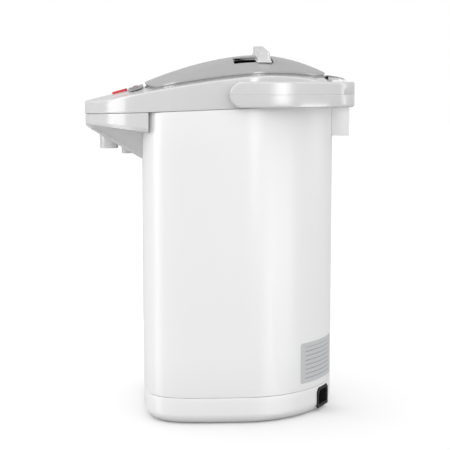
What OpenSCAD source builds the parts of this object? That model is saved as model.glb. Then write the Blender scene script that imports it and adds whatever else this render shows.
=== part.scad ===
// Electric thermo pot. Z is up, the spout points to -Y, the lid hinge is at +Y.
// The origin is on the body axis, on the surface that the feet stand on.

/* [Body] */
// Half width of the body across X
half_w = 102; // [96:0.5:106]
// Reach of the body from its axis to the front face
front_r = 105; // [98:0.5:108]
// Reach of the body from its axis to the rear face
rear_r = 101; // [98:0.5:104]
// Squareness of the front half of the plan, 2 is an ellipse
front_n = 5; // [3:0.1:6]
// Squareness of the rear half of the plan
rear_n = 1.85; // [1.8:0.05:2.2]
// Height of the joint between the base ring and the casing
base_z = 28; // [26:1:30]
// Height of the joint between the casing and the collar, on the body axis
seam_z = 325; // [322:1:327]
// Rise of that joint for each millimetre toward the rear
seam_slope = 0.042; // [0:0.002:0.06]
// Wall thickness of the moulded covers
wall = 2.4; // [2:0.1:3]

/* [Lid] */
// Height of the crown of the lid
crown_z = 380.2; // [378:0.2:383]
// Height of the lid rim beside the crown
rim_z = 362.5; // [360:0.5:364]
// Travel of the latch bar toward the front
latch_travel = 20; // [12:1:21]

/* [Handle] */
// Height of the handle pivots
pivot_z = 338.4; // [337:0.2:340]
// Height of the handle strap
strap_h = 26.4; // [24:0.2:27]
// Reach of the strap behind the body axis
strap_rear = 121; // [120:0.5:123]

/* [Pot] */
// Inner radius of the water pot
pot_r = 83; // [78:0.5:84]
// Height of the pot floor
pot_floor = 62; // [58:1:70]

/* [Beak] */
// Reach of the beak in front of the body axis
beak_reach = 166.5; // [164:0.5:170]
// Squareness of the beak plan, 2 is an ellipse
beak_n = 2.1; // [2:0.05:2.3]
// Diameter of the outlet nozzle
nozzle_d = 21; // [18:0.5:22]
// Lowest point of the outlet nozzle
nozzle_z = 280.5; // [278:0.5:284]

/* [Hidden] */

around = 96;                 // points round each outline
gap = 0.3;                   // running gap between parts that move
beak_root = -30;             // where the beak starts to narrow
pot_axis_y = -1;
pot_wall = 0.8;
mouth_z = 321;               // top of the pot flange
deck_z = 327;                // underside of the inner deck
deck_t = 3;
well_w = 88;                 // half width of the lid opening
well_f = 103;
well_r = 93;
lid_gap = 1;                 // gap between the lid and its opening
crown_y = 17;                // the crown of the lid is behind the body axis
rim_y = 25;                  // where the rim is highest
pin_y = 107;
pin_z = 350.5;
pin_r = 2;
barrel_r = 3.6;
cheek_x = 17.5;
block_x = 22;
block_rear = 116.8;
cheek_rear = 114.2;
cheek_top = 353.8;
block_top = pivot_z - strap_h / 2 - 0.6;
block_bottom = 294;
pivot_y = -4;
strap_out = 113;
strap_in = 104.6;
strap_rear_in = strap_rear - 5.6;
pivot_r = 3.8;
fin_y = [16.5, 27.5];        // front and rear face of the latch bar
fin_x = [-19, 62];            // ends of the latch bar
fin_top = [390.2, 381.2];    // and the height of its top there
slot_x = [29, 60];
slot_y = [-9.5, 31.5];
latch_z = 344.3;             // the latch plate slides on the inner lid
latch_t = 2;
hook_x = 85.2;               // reach of the hooks that slide under the collar's lugs
hook_y = [14, 30];
lug_x = 83.4;
beak_rear = -98;             // rear edge of the lower beak beside the casing
beak_tilt = 15.6;            // slope of the beak top
beak_crown = 0.0019;         // fall of the beak top to both sides, times x squared
panel_top = 348.9;           // height of the beak top where it meets the lid
panel_t = 0.8;
button_at = [[-24, -112.5], [0, -129], [24, -112.5]];
button_size = [[14, 9], [30, 16], [14, 9]];
button_h = 6.4;              // depth of the button stem under the beak top
press = 1.2;                 // travel of the buttons
lens_x = [-9, 0, 9];
lens_y = -112.5;
lens_r = 2;
board_y = -123.5;
board_top = -10.8;
outlet_y = -141.2;
nozzle_h = 22;
guide_y = -122;
riser_y = -95;
elbow_z = 311;               // height of the water hose into the beak
pump_at = [0, -62];
hose_y = pump_at[1] + 35;    // where the pump draws from the pot floor
hose_r = 4;
inlet_angle = 60;            // direction that the power inlet faces, from +X toward +Y
inlet_at = [46, 86.3, 14.8];
inlet_w = 26;
inlet_h = 20;
plate_angles = [37, 77];
plate_z = [36, 79];
foot_at = [[62, -72], [-62, -72], [56, 56], [-56, 56]];
leg_at = [for (a = [30, 150, 210, 330]) [65 * cos(a), pot_axis_y + 65 * sin(a)]];
floor_z = 1;                 // underside of the base ring
base_edge = [[8, 0], [3.2, 1.4], [0.8, 5], [0, 10]];    // inset and rise of its rounded foot
base_wall = 2.5;
bottom_t = 2.4;              // thickness of the bottom plate, which lies on the foot of the ring
bottom_z = floor_z + 0.4;
foot_r = 9;
foot_stem_r = 3;
screw_r = 1.7;
screw_head_r = 3.2;
film_t = 0.4;                // how far the gauge window and the rating plate stand out
gauge_w = 18;
gauge_z = 92;                // lower end of the gauge window
gauge_h = 176;
hose_slot_w = 13;            // slot in the casing for the water hose
flange = [[-14.5, -11], [14.5, -11], [14.5, 7.5], [10.5, 11.5], [-10.5, 11.5], [-14.5, 7.5]];
socket = [[-11.5, -7.5], [11.5, -7.5], [11.5, 4], [8, 7.8], [-8, 7.8], [-11.5, 4]];
flange_t = 1.2;
socket_depth = 16;
pin_at = [[-6.5, -1.5], [0, 2.5], [6.5, -1.5]];          // pins of the power inlet
pin_size = [20, 2, 4];
board_t = 1.6;
relay_at = [-44, 4, 12];
relay_size = [52, 44];
rim_fall = [18, 7];          // fall of the lid rim to its front and rear end
rim_hump = 6;                // and its rise across the middle
edge_fall = [24, 9];         // fall of the collar's outer edge to the front and rear
edge_hump = 3.4;
hump_x = 55;                 // half width of both rises
shoulder = [[0, 5], [1.4, 1.6], [5, 0]];                 // inset and drop of the collar's round edge
deck_hole_r = 81;
guide_r = 5.6;
guide_z = 274.8;
elbow_r = 5.4;
riser_r = 4.5;
cup_r = 60;                  // hole of the pot's support ring
ring_t = 5;
pump_z = 8;                  // underside of the pump housing
pump_r = 19;
chamber_r = 16;
port_r = 4.5;
rotor_r = 14;
motor_h = 26;
pan_z = 344;                 // top of the inner lid
pan_t = 3;
plug_z = 323;                // underside of the plug that dips into the pot
plug_r = 76;
steam_r = 6;                 // hole for steam

white = [0.94, 0.94, 0.95];
grey = [0.82, 0.82, 0.83];
dark = [0.2, 0.2, 0.21];
steel = [0.75, 0.76, 0.78];

// ---- outlines and surfaces ----

function power(v, e) = sign(v) * pow(abs(v), e);

// Superellipse whose reach and squareness differ in front of and behind y0
function egg(w, f, r, nf, nr, y0 = 0) = [
    for (i = [0:around - 1])
        let (t = 360 * i / around, s = sin(t), n = s < 0 ? nf : nr, b = s < 0 ? f : r)
        [w * power(cos(t), 2 / n), y0 + b * power(s, 2 / n)]
];

function body_outline(inset = 0) =
    egg(half_w - inset, front_r - inset, rear_r - inset, front_n, rear_n);

// Half width of the casing at y, in its front half
function body_half(y, inset) = -y >= front_r - inset ? 0 :
    (half_w - inset) * pow(1 - pow(-y / (front_r - inset), front_n), 1 / front_n);

// The body's rear half, and from beak_root forward a rounded beak no narrower than the casing
function collar_outline(inset = 0) = [
    for (i = [0:around - 1])
        let (t = 360 * i / around, s = sin(t), front = s < 0, n = front ? beak_n : rear_n,
             x = (half_w - inset) * power(cos(t), 2 / n),
             y = front ? beak_root + (beak_reach + beak_root - inset) * power(s, 2 / n)
                       : (rear_r - inset) * power(s, 2 / n))
        [front ? sign(x) * max(abs(x), body_half(y, inset)) : x, y]
];

function well_outline(out = 0) = egg(well_w + out, well_f + out, well_r + out, 2.6, 2.1);

// Height of the joint under the collar
function joint_z(y) = seam_z + seam_slope * y;

// Height of the lid rim: highest beside the crown, lower at both ends
function rim_top(x, y) =
    rim_z - (y < rim_y ? rim_fall[0] * pow((rim_y - y) / 132, 1.6) : rim_fall[1] * pow((y - rim_y) / 67, 3))
    + rim_hump * max(0, 1 - pow(x / hump_x, 2));

// Height of the outer top edge of the collar, raised at the tip of the beak
function edge_top(x, y) =
    rim_z - 5 - (y < 20 ? edge_fall[0] * pow((20 - y) / 160, 1.35) : edge_fall[1] * pow((y - 20) / 81, 2.2))
    + (y < 0 ? edge_hump * max(0, 1 - pow(x / hump_x, 2)) : 0);

// Height of the collar where it meets the lid
function groove_z(x, y) = min(rim_top(x, y) - 2.5, y > 0 ? edge_top(x, y) + 4 : rim_z);

function level(points, z) = [for (p = points) [p[0], p[1], z]];

// The lid outline drawn in toward the crown, as a fraction of its size, on the domed surface
function dome_ring(fraction, out, lift) = [
    for (p = well_outline(out))
        let (rise = crown_z - rim_top(p[0], p[1]),
             e = 2 + (p[1] < 0 ? 0.3 * p[1] / well_f : -0.05 * p[1] / well_r))
        [p[0] * fraction, crown_y + (p[1] - crown_y) * fraction,
         crown_z + lift - rise * pow(fraction, e)]
];

// Height of the lid crown above the latch slots, at x
function crown_at(x) = crown_z - (crown_z - rim_z) * pow(abs(x) / (well_w - lid_gap), 2);

// Closed skin through a list of rings that each hold the same number of points. With loop the
// last ring joins the first, as round a hollow ring. Without it both ends are capped.
module skin(rings, loop = false) {
    m = len(rings);
    n = len(rings[0]);
    points = [for (ring = rings) each ring];
    sides = [
        for (i = [0:m - (loop ? 1 : 2)], j = [0:n - 1])
            let (a = i * n + j, b = i * n + (j + 1) % n,
                 c = ((i + 1) % m) * n + (j + 1) % n, d = ((i + 1) % m) * n + j)
            each [[a, c, b], [a, d, c]]
    ];
    caps = loop ? [] : [[for (j = [0:n - 1]) j], [for (j = [n - 1:-1:0]) (m - 1) * n + j]];
    polyhedron(points = points, faces = concat(sides, caps), convexity = 8);
}

// Everything above the tilted plane of the collar joint
module above_joint() {
    translate([0, 0, seam_z]) rotate([atan(seam_slope), 0, 0]) translate([-200, -250, 0])
        cube([400, 500, 200]);
}

module at_pair(x) {
    for (side = [-1, 1]) translate([side * x, 0, 0]) children();
}

module along_x(length, r) {
    rotate([0, 90, 0]) cylinder(h = length, r = r, center = true, $fn = 48);
}

// Local frame on the sloped beak top, z away from the surface
module on_beak(x, y) {
    translate([x, y, panel_top - (-well_f - y) * tan(beak_tilt) - beak_crown * x * x])
        rotate([beak_tilt, 0, 0]) children();
}

// Local frame of the power inlet, x pointing out of the body
module at_inlet() {
    translate(inlet_at) rotate([0, 0, inlet_angle]) children();
}

// ---- casing and base ----

module outer_casing() color(white) difference() {
    translate([0, 0, base_z]) linear_extrude(seam_z + 12 - base_z)
        difference() {
            polygon(body_outline());
            polygon(body_outline(wall));
        }
    above_joint();
    translate([-gauge_w / 2, -front_r - 5, gauge_z]) cube([gauge_w, 15, gauge_h]);
    translate([-hose_slot_w / 2, -front_r - 5, elbow_z - 7]) cube([hose_slot_w, 15, 40]);
}

module gauge_window() color([0.72, 0.78, 0.82, 0.5])
    intersection() {
        translate([0, 0, gauge_z]) linear_extrude(gauge_h)
            difference() {
                polygon(body_outline(-film_t));
                polygon(body_outline(wall));
            }
        translate([-gauge_w / 2 + 0.2, -front_r - 5, gauge_z + 0.2]) cube([gauge_w - 0.4, 15, gauge_h - 0.4]);
    }

module base_cover() color(white) difference() {
    skin([
        for (e = base_edge) level(body_outline(e[0]), floor_z + e[1]),
        level(body_outline(0), base_z),
        level(body_outline(base_wall), base_z),
        level(body_outline(base_wall), floor_z + base_edge[3][1]),
        level(body_outline(base_edge[0][0]), floor_z + 4)
    ], loop = true);
    at_inlet() {
        translate([-12, -inlet_w / 2, -inlet_h / 2]) cube([30, inlet_w, inlet_h]);
        translate([0.3, -14.6, -11.1]) cube([8, 29.2, 22.7]);
    }
}

module bottom_plate() color(grey) difference() {
    translate([0, 0, bottom_z]) linear_extrude(bottom_t) polygon(body_outline(base_edge[0][0] + 0.4));
    for (i = [-3:3]) translate([i * 12 - 2, -20, 0]) cube([4, 40, 8]);
    for (p = foot_at) translate([p[0], p[1], 0]) cylinder(h = 10, r = foot_stem_r, $fn = 32);
    for (p = leg_at) translate([p[0], p[1], 0]) cylinder(h = 10, r = screw_r, $fn = 32);
}

module rubber_feet() color(dark)
    for (p = foot_at) translate([p[0], p[1], 0]) {
        cylinder(h = bottom_z, r = foot_r, $fn = 48);
        cylinder(h = bottom_z + bottom_t + 0.8, r = foot_stem_r, $fn = 32);
    }

module base_screws() color(steel)
    for (p = leg_at) translate([p[0], p[1], floor_z - 0.4]) {
        cylinder(h = 0.8, r = screw_head_r, $fn = 32);
        cylinder(h = 12, r = screw_r, $fn = 32);
    }

module rating_plate() color([0.75, 0.75, 0.76])
    translate([0, 0, plate_z[0]]) linear_extrude(plate_z[1] - plate_z[0])
        intersection() {
            difference() {
                polygon(body_outline(-film_t));
                polygon(body_outline(0));
            }
            polygon([[0, 0], for (a = plate_angles) 140 * [cos(a), sin(a)]]);
        }

// ---- power inlet and electrics ----

module power_inlet() color(dark) at_inlet() difference() {
    union() {
        translate([-24, -inlet_w / 2 + 0.1, -inlet_h / 2 + 0.1])
            cube([24.4, inlet_w - 0.2, inlet_h - 0.2]);
        translate([0.4, 0, 0]) rotate([90, 0, 90]) linear_extrude(flange_t) polygon(flange);
    }
    translate([-socket_depth, 0, 0]) rotate([90, 0, 90]) linear_extrude(30) polygon(socket);
}

module inlet_pins() color(steel) at_inlet()
    for (p = pin_at) translate([-27, p[0] - pin_size[1] / 2, p[1] - pin_size[2] / 2]) cube(pin_size);

module relay_board() color([0.1, 0.35, 0.2]) translate(relay_at) {
    post = relay_at[2] - bottom_z - bottom_t;
    cube([relay_size[0], relay_size[1], board_t]);
    translate([6, 8, board_t]) cube([18, 14, 15]);
    translate([30, 8, board_t]) cube([16, 20, 10]);
    for (x = [4, relay_size[0] - 4], y = [4, relay_size[1] - 4])
        translate([x, y, -post]) cylinder(h = post, r = 2.5, $fn = 24);
}

// ---- collar and beak ----

module collar() color(grey) difference() {
    resize([0, 0, 0]) {
        collar_shell();
        for (side = [-1, 1])
            translate([side > 0 ? lug_x : -well_w - 0.8, -8, latch_z + latch_t + 0.4])
                cube([well_w + 0.8 - lug_x, 20, 3.4]);
    }
    at_pair(half_w) translate([0, pivot_y, pivot_z]) along_x(12, pivot_r);
}

function collar_edge(inset, drop) =
    [for (p = collar_outline(inset)) [p[0], p[1], edge_top(p[0], p[1]) - drop]];
function well_edge(out, drop) = [for (p = well_outline(out)) [p[0], p[1], groove_z(p[0], p[1]) - drop]];
function on_joint(points, rise) = [for (p = points) [p[0], p[1], joint_z(p[1]) + rise]];

module collar_shell() difference() {
    skin([
        on_joint(collar_outline(), 0),
        for (e = shoulder) collar_edge(e[0], e[1]),
        well_edge(0, 0),
        level(well_outline(), deck_z),
        level(well_outline(wall), deck_z),
        [for (p = well_outline(wall))
            [p[0], p[1], min(groove_z(p[0], p[1]) - 3.5, edge_top(p[0], p[1]) - 3 + 0.2 * max(-p[1], 0))]],
        collar_edge(wall + 3, 5),
        collar_edge(wall, 8),
        on_joint(collar_outline(wall), wall),
        on_joint(body_outline(wall + 0.4), wall),
        on_joint(body_outline(wall + 0.4), 0)
    ], loop = true);
    translate([-cheek_x, well_r - 5, pin_z - 9]) cube([2 * cheek_x, 25, 30]);
    button_windows();
    for (x = lens_x) on_beak(x, lens_y) translate([0, 0, -8]) cylinder(h = 20, r = lens_r + 0.1, $fn = 24);
}

module button_windows() {
    for (i = [0:2]) on_beak(button_at[i][0], button_at[i][1])
        translate([-button_size[i][0] / 2 - gap, -button_size[i][1] / 2 - gap, -8])
            cube([button_size[i][0] + 2 * gap, button_size[i][1] + 2 * gap, 20]);
}

module inner_deck() color(grey) difference() {
    translate([0, 0, deck_z]) linear_extrude(deck_t) polygon(well_outline(-0.2));
    translate([0, pot_axis_y, deck_z - 1]) cylinder(h = 10, r = deck_hole_r, $fn = 120);
}

// Half width of the lower beak at y
function beak_half(y) = (half_w - 0.4)
    * pow(max(0, 1 - pow((beak_root - y) / (beak_reach + beak_root - 0.4), beak_n)), 1 / beak_n);
function beak_side_z(y) = 301 - 0.1 * (y + 97);
function beak_keel_z(y) = min(max(266, 304 - 0.59 * (y + 163.5)), beak_side_z(y) - 1);
function beak_keel_half(y) = min(20, 0.6 * beak_half(y));

// One cross section of the lower beak, in from the outer skin by the given amount: an upright
// side, a shallow shoulder, a steep skirt and a keel with low upright sides
function beak_section(y, inset) =
    let (w = max(beak_half(y) - inset, 1), k = max(beak_keel_half(y) - inset, 0.5),
         crease = max(0.68 * beak_half(y) - inset, 0.75), fall = beak_side_z(y) - beak_keel_z(y),
         top = joint_z(y) + (inset > 0 ? 20 : 0), side = beak_side_z(y) + inset,
         low = beak_keel_z(y) + 1.2 * inset,
         right = [[k, y, low], [k + 0.1, y, low + min(4, 0.3 * fall)], [crease, y, side - 0.11 * fall],
                  [w * 0.985, y, side], [w, y, side + 3], [w, y, top]])
    concat([for (p = right) [-p[0], y, p[2]]], [for (i = [5:-1:0]) right[i]]);

beak_stations = [for (i = [0:14]) 0.9 - beak_reach + (beak_reach + beak_rear - 0.9) * pow(i / 14, 1.5)];

module beak_lower() color(grey) difference() {
    resize([0, 0, 0]) difference() {
        skin([for (y = beak_stations) beak_section(y, 0)]);
        skin([for (y = beak_stations) if (y > 4 - beak_reach) beak_section(min(y, beak_rear - wall), wall)]);
        translate([0, 0, 200]) linear_extrude(200) polygon(body_outline(-0.2));
    }
    translate([0, outlet_y, 200]) cylinder(h = 200, r = nozzle_d / 2 - 0.5, $fn = 64);
    translate([0, guide_y, 200]) cylinder(h = 200, r = guide_r, $fn = 48);
}

module nozzle() color(grey) translate([0, outlet_y, nozzle_z]) difference() {
    union() {
        cylinder(h = nozzle_h - 4, r = nozzle_d / 2 - 0.5, $fn = 64);
        cylinder(h = nozzle_h, r = 8, $fn = 64);
    }
    translate([0, 0, -1]) cylinder(h = 12, r = nozzle_d / 2 - 3, $fn = 64);
    cylinder(h = 40, r = 4.5, $fn = 48);
}

module drip_guide() color(grey) translate([0, guide_y, guide_z]) difference() {
    cylinder(h = 16, r = guide_r, $fn = 48);
    translate([0, 0, -1]) cylinder(h = 14, r = 3.8, $fn = 48);
}

// Inlay that follows the beak top between the lid and the dispense button
module control_panel() color(dark) difference() {
    resize([0, 0, 0]) difference() {
        intersection() {
            skin([
                collar_edge(shoulder[2][0], 0.1), collar_edge(shoulder[2][0], -panel_t),
                well_edge(0, -panel_t), well_edge(0, 0.1)
            ], loop = true);
            translate([0, 0, 300]) linear_extrude(80) hull() at_pair(35) intersection() {
                translate([0, -111.8]) circle(r = 8, $fn = 32);
                translate([-20, -119.4]) square([40, 15.2]);
            }
        }
        button_windows();
    }
    for (x = lens_x) on_beak(x, lens_y) translate([0, 0, -6]) cylinder(h = 16, r = lens_r, $fn = 32);
}

module indicator_lenses() color([0.9, 0.3, 0.2])
    for (x = lens_x) on_beak(x, lens_y) translate([0, 0, -5]) cylinder(h = 6.2, r = lens_r, $fn = 32);

module push_button(i) on_beak(button_at[i][0], button_at[i][1]) {
    size = button_size[i];
    translate([-size[0] / 2, -size[1] / 2, -3]) cube([size[0], size[1], 4.1]);
    translate([-size[0] / 2 + 3, -size[1] / 2 + 2.5, -button_h])
        cube([size[0] - 6, size[1] - 5, button_h - 3]);
}
module unlock_button() color([0.6, 0.6, 0.62]) push_button(0);
module dispense_button() color([0.85, 0.15, 0.17]) push_button(1);
module reboil_button() color([0.6, 0.6, 0.62]) push_button(2);

// Switches on the board, each with a plunger that ends under its pressed button
module tact_switches() color(dark) for (i = [0:2]) {
    reach = -board_top - button_h - press - 0.15 - beak_crown * pow(button_at[i][0], 2);
    on_beak(0, button_at[i][1]) translate([button_at[i][0], 0, board_top]) {
        translate([-3, -3, 0]) cube([6, 6, 1]);
        cylinder(h = reach, r = 1.6, $fn = 24);
    }
}

module control_board() color([0.1, 0.35, 0.2]) {
    on_beak(0, board_y) translate([-42, -15, board_top - board_t]) cube([84, 30, board_t]);
    for (x = [-37, 37], y = [board_y - 8, board_y + 12]) {
        low = joint_z(y) + wall + 0.15;
        high = panel_top - (-well_f - y) * tan(beak_tilt) - 11.6 / cos(beak_tilt);
        translate([x, y, low]) cylinder(h = high - low, r = 2.5, $fn = 24);
    }
}

// ---- water pot, heaters, pump ----

module inner_pot() color(steel) difference() {
    translate([0, pot_axis_y, 0]) rotate_extrude($fn = 144) polygon([
        [0, pot_floor], [pot_r - 12, pot_floor], [pot_r, pot_floor + 10], [pot_r, mouth_z],
        [pot_r + 4, mouth_z], [pot_r + 4, mouth_z - pot_wall], [pot_r + pot_wall, mouth_z - pot_wall],
        [pot_r + pot_wall, pot_floor + 9.6], [pot_r - 11.6, pot_floor - pot_wall], [0, pot_floor - pot_wall]
    ]);
    translate([0, hose_y, pot_floor - 5]) cylinder(h = 10, r = hose_r, $fn = 48);
}

module pot_seal() color([0.9, 0.9, 0.88]) translate([0, pot_axis_y, mouth_z]) difference() {
    cylinder(h = deck_z - mouth_z, r = pot_r + 4, $fn = 144);
    translate([0, 0, -1]) cylinder(h = 20, r = pot_r - 1, $fn = 144);
}

module band_heater() color([0.7, 0.62, 0.45]) translate([0, pot_axis_y, pot_floor + 14]) difference() {
    cylinder(h = 46, r = pot_r + pot_wall + 2.4, $fn = 144);
    translate([0, 0, -1]) cylinder(h = 60, r = pot_r + pot_wall, $fn = 144);
    translate([-4, -120, -1]) cube([8, 60, 60]);
}

module base_heater() color(steel) translate([0, pot_axis_y, pot_floor - pot_wall - 6]) difference() {
    cylinder(h = 6, r = 52, $fn = 96);
    translate([0, 0, -1]) cylinder(h = 9, r = 18, $fn = 64);
    translate([0, hose_y - pot_axis_y, -1]) cylinder(h = 9, r = 7, $fn = 48);
}

module thermostat() color(dark) translate([0, pot_axis_y, pot_floor - pot_wall - 12]) {
    cylinder(h = 12, r = 9, $fn = 48);
    at_pair(10) translate([-2, -3, 2]) cube([4, 6, 1.6]);
}

module pot_support() color(white) {
    translate([0, pot_axis_y, 0]) difference() {
        translate([0, 0, pot_floor - pot_wall - ring_t]) cylinder(h = ring_t, r = cup_r + 10, $fn = 96);
        cylinder(h = 100, r = cup_r, $fn = 96);
    }
    for (p = leg_at) translate([p[0], p[1], bottom_z + bottom_t]) difference() {
        cylinder(h = pot_floor - pot_wall - ring_t - bottom_z - bottom_t, r = 4, $fn = 32);
        translate([0, 0, -1]) cylinder(h = 10.2, r = screw_r, $fn = 32);
    }
}

module pump_housing() color(white) translate([pump_at[0], pump_at[1], pump_z]) difference() {
    union() {
        cylinder(h = 18, r = pump_r, $fn = 64);
        translate([0, -15, 9]) rotate([90, 0, 0]) cylinder(h = 22, r = port_r, $fn = 48);
        translate([0, 28, 9]) rotate([90, 0, 0]) cylinder(h = 16, r = port_r, $fn = 48);
    }
    translate([0, 0, 2]) cylinder(h = 13.4, r = chamber_r, $fn = 64);
}

module impeller() color([0.9, 0.9, 0.85]) translate([pump_at[0], pump_at[1], pump_z + 2.6]) {
    cylinder(h = 2, r = rotor_r, $fn = 64);
    cylinder(h = 12, r = 4, $fn = 48);
    for (a = [0:60:300]) rotate([0, 0, a]) translate([3, -0.75, 1]) cube([10.4, 1.5, 8]);
}

module pump_motor() color([0.35, 0.36, 0.38]) translate([pump_at[0], pump_at[1], pump_z + 18]) difference() {
    cylinder(h = motor_h, r = rotor_r, $fn = 64);
    at_pair(rotor_r) translate([-2, -8, -1]) cube([4, 16, 30]);
}

module tube_z(r, inner, low, high) translate([0, 0, low]) difference() {
    cylinder(h = high - low, r = r, $fn = 48);
    translate([0, 0, -1]) cylinder(h = high - low + 2, r = inner, $fn = 48);
}

module riser_pipe() color([0.8, 0.86, 0.88]) translate([0, riser_y, 0]) tube_z(riser_r, 3, 21.5, elbow_z - 3);

module inlet_hose() color([0.86, 0.86, 0.84]) translate([0, hose_y, 0]) {
    tube_z(hose_r + 1.6, hose_r, 22, pot_floor - pot_wall);
    translate([0, 0, 11]) cylinder(h = 11, r = 7, $fn = 48);
}

module elbow_ball(y, drop) translate([0, y, elbow_z - drop]) sphere(r = elbow_r, $fn = 24);

module spout_elbow() color([0.86, 0.86, 0.84]) difference() {
    union() {
        hull() {
            elbow_ball(riser_y, 0);
            elbow_ball(-front_r - 6, 0);
        }
        hull() {
            elbow_ball(-front_r - 6, 0);
            elbow_ball(outlet_y, 2.9);
        }
        translate([0, outlet_y, nozzle_z + nozzle_h]) cylinder(h = 8, r = 5, $fn = 32);
    }
    translate([0, riser_y, 300]) cylinder(h = elbow_z - 303, r = riser_r, $fn = 48);
}

// ---- lid ----

module lid_outer() color(grey) difference() {
    union() {
        difference() {
            skin([
                [for (p = well_outline(-lid_gap)) [p[0], p[1], rim_top(p[0], p[1]) - 7]],
                [for (p = well_outline(-lid_gap)) [p[0], p[1], rim_top(p[0], p[1]) - 1]],
                for (f = [0.995, 0.97, 0.92, 0.84, 0.74, 0.62, 0.48, 0.32, 0.16, 0.04])
                    dome_ring(f, -lid_gap, 0)
            ]);
            skin([
                [for (p = well_outline(-lid_gap - wall)) [p[0], p[1], rim_top(p[0], p[1]) - 12]],
                [for (p = well_outline(-lid_gap - wall)) [p[0], p[1], rim_top(p[0], p[1]) - 3.4]],
                for (f = [0.96, 0.84, 0.62, 0.32, 0.04]) dome_ring(f, -lid_gap - wall, -wall)
            ]);
        }
        difference() {
            translate([-cheek_x + 1.2, well_r - 8, pin_z - 1])
                cube([2 * cheek_x - 2.4, pin_y - well_r + 8, 5]);
            translate([-50, well_r - 12, pin_z - 20]) cube([100, 6, 30]);
        }
        translate([0, pin_y, pin_z]) along_x(2 * cheek_x - 1.2, barrel_r);
    }
    translate([0, pin_y, pin_z]) along_x(60, pin_r + 0.05);
    translate([slot_x[0], slot_y[0], crown_at(slot_x[1]) - 8])
        cube([slot_x[1] - slot_x[0], slot_y[1] - slot_y[0], 30]);
}

module lid_inner() color([0.86, 0.86, 0.84]) difference() {
    union() {
        translate([0, 0, pan_z - pan_t]) linear_extrude(pan_t) polygon(egg(83, 96, 86, 2.6, 2.1));
        translate([0, pot_axis_y, plug_z]) cylinder(h = pan_z - pan_t - plug_z, r = plug_r, $fn = 120);
    }
    translate([0, pot_axis_y, plug_z + wall])
        cylinder(h = pan_z - pan_t - plug_z - wall, r = plug_r - wall, $fn = 120);
    translate([0, pot_axis_y, plug_z - 3]) cylinder(h = 8, r = steam_r, $fn = 48);
}

module lid_gasket() color([0.92, 0.92, 0.9]) translate([0, pot_axis_y, deck_z + deck_t + gap]) difference() {
    cylinder(h = 3, r = 83.5, $fn = 120);
    translate([0, 0, -1]) cylinder(h = 6, r = plug_r, $fn = 120);
}

module steam_cap() color(grey) translate([0, pot_axis_y, 0]) difference() {
    translate([0, 0, plug_z - 3]) cylinder(h = 3, r = 14, $fn = 64);
    for (a = [0:60:300]) translate([9.5 * cos(a), 9.5 * sin(a), plug_z - 5])
        cylinder(h = 8, r = 1.6, $fn = 24);
}

// Bar on the crown of the lid, with a leg through the slot
module latch_bar() color(grey) {
    translate([0, fin_y[1], 0]) rotate([90, 0, 0]) linear_extrude(fin_y[1] - fin_y[0])
        polygon(concat(
            [[fin_x[0], fin_top[0]], [fin_x[1], fin_top[1]]],
            [for (i = [16:-1:0]) let (x = fin_x[0] + (fin_x[1] - fin_x[0]) * i / 16)
                [x, crown_at(x) + 0.7]]));
    translate([0, fin_y[1] + 1.5, 0]) rotate([90, 0, 0]) linear_extrude(fin_y[1] - fin_y[0] + 3)
        polygon([
            for (x = [slot_x[0] + 2, slot_x[1] - 2]) [x, latch_z + latch_t],
            for (x = [slot_x[1] - 2, slot_x[0] + 2]) [x, crown_at(x) + 3]
        ]);
}

module latch_plate() color(dark) translate([0, 0, latch_z]) linear_extrude(latch_t)
    polygon([[-hook_x, hook_y[0]], [hook_x, hook_y[0]], [hook_x, hook_y[0] + 6], [80, hook_y[0] + 9],
             [80, hook_y[1]], [-80, hook_y[1]], [-80, hook_y[0] + 9], [-hook_x, hook_y[0] + 6]]);

module hinge_pin() color(steel) translate([0, pin_y, pin_z]) along_x(2 * block_x - 1, pin_r);

// Housing at the back that carries the hinge and that the folded handle rests on
module hinge_block() color(grey) difference() {
    union() {
        translate([-block_x, 90, block_bottom])
            cube([2 * block_x, block_rear - 90, block_top - block_bottom]);
        translate([-block_x, 90, block_top - 1])
            cube([2 * block_x, cheek_rear - 90, cheek_top - block_top + 1]);
    }
    translate([-cheek_x, 80, pin_z - 14]) cube([2 * cheek_x, 60, 40]);
    translate([-block_x + wall, 80, block_bottom + wall])
        cube([2 * block_x - 2 * wall, block_rear - 80 - wall, block_top - block_bottom - 2 * wall]);
    translate([0, 0, 200]) linear_extrude(300) polygon(body_outline(-0.2));
    translate([0, pin_y, pin_z]) along_x(60, pin_r);
}

module release_lever() color(dark) translate([-cheek_x + 1.5, 96, 0]) {
    rotate([90, 0, 90]) linear_extrude(2 * cheek_x - 3)
        polygon([[-2.2, 356.9], [11, 355.3], [13.5, 354.5], [16.8, 352.5],
                 [17.3, 353.7], [14, 355.6], [9.5, 356.9], [-2.2, 358.6]]);
}

// ---- handle ----

function strap_outline(w, rear) = [
    for (i = [0:48]) let (t = 180 * i / 48)
        [w * power(cos(t), 2 / 3), pivot_y + (rear - pivot_y) * power(sin(t), 2 / 3)]
];

module handle() color(grey) difference() {
    intersection() {
        translate([0, 0, pivot_z - strap_h / 2]) linear_extrude(strap_h)
            polygon(concat(
                [[strap_out, pivot_y - 20]], strap_outline(strap_out, strap_rear),
                [[-strap_out, pivot_y - 20]],
                [[-strap_in, pivot_y - 20]],
                [for (i = [48:-1:0]) strap_outline(strap_in, strap_rear_in)[i]], [[strap_in, pivot_y - 20]]));
        union() {
            translate([0, pivot_y, pivot_z]) along_x(300, strap_h / 2);
            translate([-150, pivot_y, 200]) cube([300, 200, 300]);
        }
    }
    at_pair(strap_in) translate([0, pivot_y, pivot_z]) along_x(13, pivot_r + 0.05);
}

module handle_pivots() color(steel)
    at_pair(half_w + 2) translate([0, pivot_y, pivot_z]) along_x(12, pivot_r);

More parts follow.
